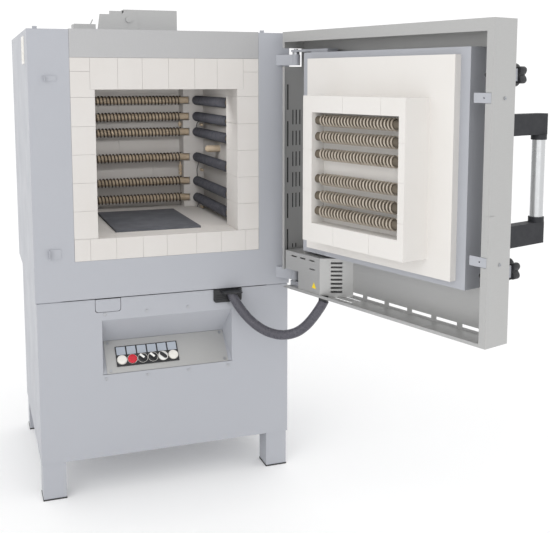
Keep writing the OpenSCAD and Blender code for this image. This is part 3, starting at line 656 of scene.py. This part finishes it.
def add_selector(body, index, ring_material, pointer):
    """A rotary selector: round skirt, waisted grip and, on most, a pale pointer along the grip."""
    place = at_control(index)
    obj = new_object(body + "_skirt", *moved(lathe(scaled(SKIRT)), place))
    finish_piece(obj, ring_material, body, "black_plastic", body)
    turned = place @ Matrix.Rotation(GRIP_TURN, 4, "Z")
    outline = []
    for k in range(24):
        turn = 2 * math.pi * k / 24
        reach = abs(math.sin(turn)) ** 0.7 * math.copysign(1, math.sin(turn))
        outline.append((GRIP_HALF_WIDTH * MM * math.cos(turn), GRIP_REACH * MM * reach))
    grip = prism(outline, 6.6 * MM)
    lifted = turned @ Matrix.Translation((0, 0, 8.1 * MM))
    body_obj = bevel(new_object(body + "_grip", *moved(grip, lifted), smooth=False), 0.8)
    finish_piece(body_obj, materials["black_plastic"], body, "black_plastic")
    if pointer:
        strip = box_mesh((-3.1 * MM, -4 * MM, 14.4 * MM), (3.1 * MM, 11.6 * MM, 14.95 * MM))
        strip_obj = new_object(body + "_pointer", *moved(strip, turned), smooth=False)
        finish_piece(strip_obj, pointer_white, body, "white_plastic")


add_button("left_button", 0, materials["white_plastic"], "white_plastic", 0.9)
add_button("red_button", 1, materials["red_plastic"], "red_plastic", 1.4)
add_button("right_button", 5, materials["white_plastic"], "white_plastic", 0.9)
add_selector("left_selector", 2, materials["black_plastic"], True)
add_selector("middle_selector", 3, materials["black_plastic"], True)
add_selector("right_selector", 4, pointer_white, False)

# ---------------------------------------------------------------- knobs

KNOB_LOBES = 5
KNOB_RADIUS = 27
KNOB_DIP = 9.5
KNOB_X = 29
KNOB_BACK = -106.4
SPINDLE = [(5, 1), (5, -90)]
# Share of the outline and height of each layer of a knob, from its back to its face
KNOB_LAYERS = [(0.86, 0), (0.96, 0.8), (1, 2.4), (1, 19), (0.97, 21), (0.88, 22.3), (0.6, 22.6),
               (0.25, 22)]


def star_outline(radius, dip, count=120):
    """Points round a star knob: broad rounded lobes with narrower valleys."""
    points = []
    for k in range(count):
        turn = 2 * math.pi * k / count
        wave = 0.5 + 0.5 * math.cos(KNOB_LOBES * turn)
        reach = radius - dip * (1 - wave ** 0.6)
        points.append((reach * math.cos(turn), reach * math.sin(turn)))
    return points


def star_knob():
    """A moulded star knob about Z, its back at zero."""
    outline = star_outline(KNOB_RADIUS, KNOB_DIP)
    n = len(outline)
    top = len(KNOB_LAYERS) - 1
    verts = [Vector((x * k * MM, y * k * MM, z * MM)) for k, z in KNOB_LAYERS for x, y in outline]
    faces = [tuple(range(n - 1, -1, -1)), tuple(top * n + k for k in range(n))]
    for i in range(top):
        faces += [(i * n + k, i * n + (k + 1) % n, (i + 1) * n + (k + 1) % n, (i + 1) * n + k)
                  for k in range(n)]
    spindle = lathe(scaled(SPINDLE), 24)
    return join_parts([(verts, faces), spindle])


def add_knob(body, z):
    """Stands the knob on the door's outside, its axis square to the door."""
    out = (door(0, -1, 0) - door(0, 0, 0)).normalized()
    turn = out.to_track_quat("Z", "Y").to_matrix().to_4x4()
    place = Matrix.Translation(door(KNOB_X, KNOB_BACK, z)) @ turn
    obj = new_object(body + "_star", *moved(star_knob(), place))
    finish_piece(obj, materials["black_plastic"], body, "black_plastic", body)


add_knob("lower_knob", 729)
add_knob("upper_knob", 1176)

# ---------------------------------------------------------------- small trim

def solid_box(place, low, high):
    """A box between two corners given in millimetres, put in place by cabinet() or door()."""
    verts, faces = box_mesh(low, high)
    return [place(*v) for v in verts], faces


# The thin black sheets in the door's vent slots are painted shade
SHADE_SHEET_X = (739.6, 740.4)
LUG_XS = (16, 644)
MARKER_SIDE = 19
MARKER_SPOT = (600, -5.2, 590)


def add_vent_shade_sheets():
    """Black sheets in the vent slots of the door's hinge side: painted shade that makes the slots read dark."""
    slots = [(-20.5, 2.5, z, z + 72) for z in range(664, 1100, 104)]
    slots += [(y, 2, 1038 - 60 * k, 1080 - 60 * k) for k in range(5) for y in (-39, -51, -64.5)]
    slots += [(y, 2, z, z + 12) for z in (640, 660, 680) for y in (-39, -51)]
    x0, x1 = SHADE_SHEET_X
    parts = [solid_box(door, (x0, y - half, low), (x1, y + half, high))
             for y, half, low, high in slots]
    obj = new_object("vent_painted_shade", *join_parts(parts), smooth=False)
    finish_piece(obj, painted_shade_black, "door", "black_plastic")


def add_roof_lugs():
    """Small lifting lugs on the roof's front edge."""
    parts = [solid_box(cabinet, (x, 8, 1298.3), (x + 12, 12, 1305)) for x in LUG_XS]
    obj = bevel(new_object("roof_lugs", *join_parts(parts), smooth=False), 0.6)
    finish_piece(obj, materials["painted_steel"], "cabinet", "painted_steel")


def add_marker():
    """A plain yellow triangle on the terminal box, with no sign on it."""
    side, thick = MARKER_SIDE * MM, 0.3 * MM
    outline = [(-side / 2, 0), (side / 2, 0), (0, side * 0.9)]
    across = (door(1, 0, 0) - door(0, 0, 0)).normalized()
    up = Vector((0, 0, 1))
    out = across.cross(up)
    spot = door(*MARKER_SPOT)
    place = Matrix((
        (across.x, up.x, -out.x, spot.x), (across.y, up.y, -out.y, spot.y),
        (across.z, up.z, -out.z, spot.z), (0, 0, 0, 1)))
    obj = new_object("plain_marker", *moved(prism(outline, thick), place), smooth=False)
    finish_piece(obj, marker_yellow, "door", "grey_plastic")


add_vent_shade_sheets()
add_roof_lugs()
add_marker()

# ---------------------------------------------------------------- stage and light

FLOOR_REACH = 8
LOOK_AT = (0.3, 0, 0.8)


def add_floor():
    """A plain pale floor with a little glow of its own, so that it stays nearly white."""
    r = FLOOR_REACH
    verts, faces = [(-r, -r, 0), (r, -r, 0), (r, r, 0), (-r, r, 0)], [(0, 1, 2, 3)]
    floor = new_object("floor", verts, faces, smooth=False)
    s = Shader("floor", (0.9, 0.9, 0.9), 0.9)
    s.shader.inputs["Emission Color"].default_value = (1, 1, 1, 1)
    s.shader.inputs["Emission Strength"].default_value = 0.1
    s.bump(s.noise(60), 0.02, 0.001)
    floor.data.materials.append(s.material)


def add_area(name, place, target, size, power):
    """A soft rectangular light at a place, turned to a target."""
    data = bpy.data.lights.new(name, "AREA")
    data.shape = "RECTANGLE"
    data.size, data.size_y = size
    data.energy = power
    light = bpy.data.objects.new(name, data)
    light.location = place
    light.rotation_euler = (Vector(target) - Vector(place)).to_track_quat("-Z", "Y").to_euler()
    bpy.context.scene.collection.objects.link(light)


def add_light():
    """White surroundings, two soft lights in front, one on the door and a faint one in the chamber."""
    world = bpy.data.worlds.new("world")
    bpy.context.scene.world = world
    world.use_nodes = True
    background = world.node_tree.nodes["Background"]
    background.inputs["Color"].default_value = (1, 1, 1, 1)
    background.inputs["Strength"].default_value = 1.06
    add_area("key", (-2.6, -3.2, 3.4), LOOK_AT, (2.2, 2.0), 22)
    add_area("front", (0.2, -4.4, 1.2), LOOK_AT, (2.6, 1.8), 8)
    add_area("chamber", cabinet(366, 120, 1128), cabinet(400, 460, 740), (0.24, 0.05), 0.75)
    add_area("door", (-0.9, -2.3, 1.3), door(300, 0, 900), (1.2, 1.2), 3)
    bpy.context.scene.view_settings.view_transform = "Standard"
    bpy.context.scene.view_settings.look = "None"


add_floor()
add_light()
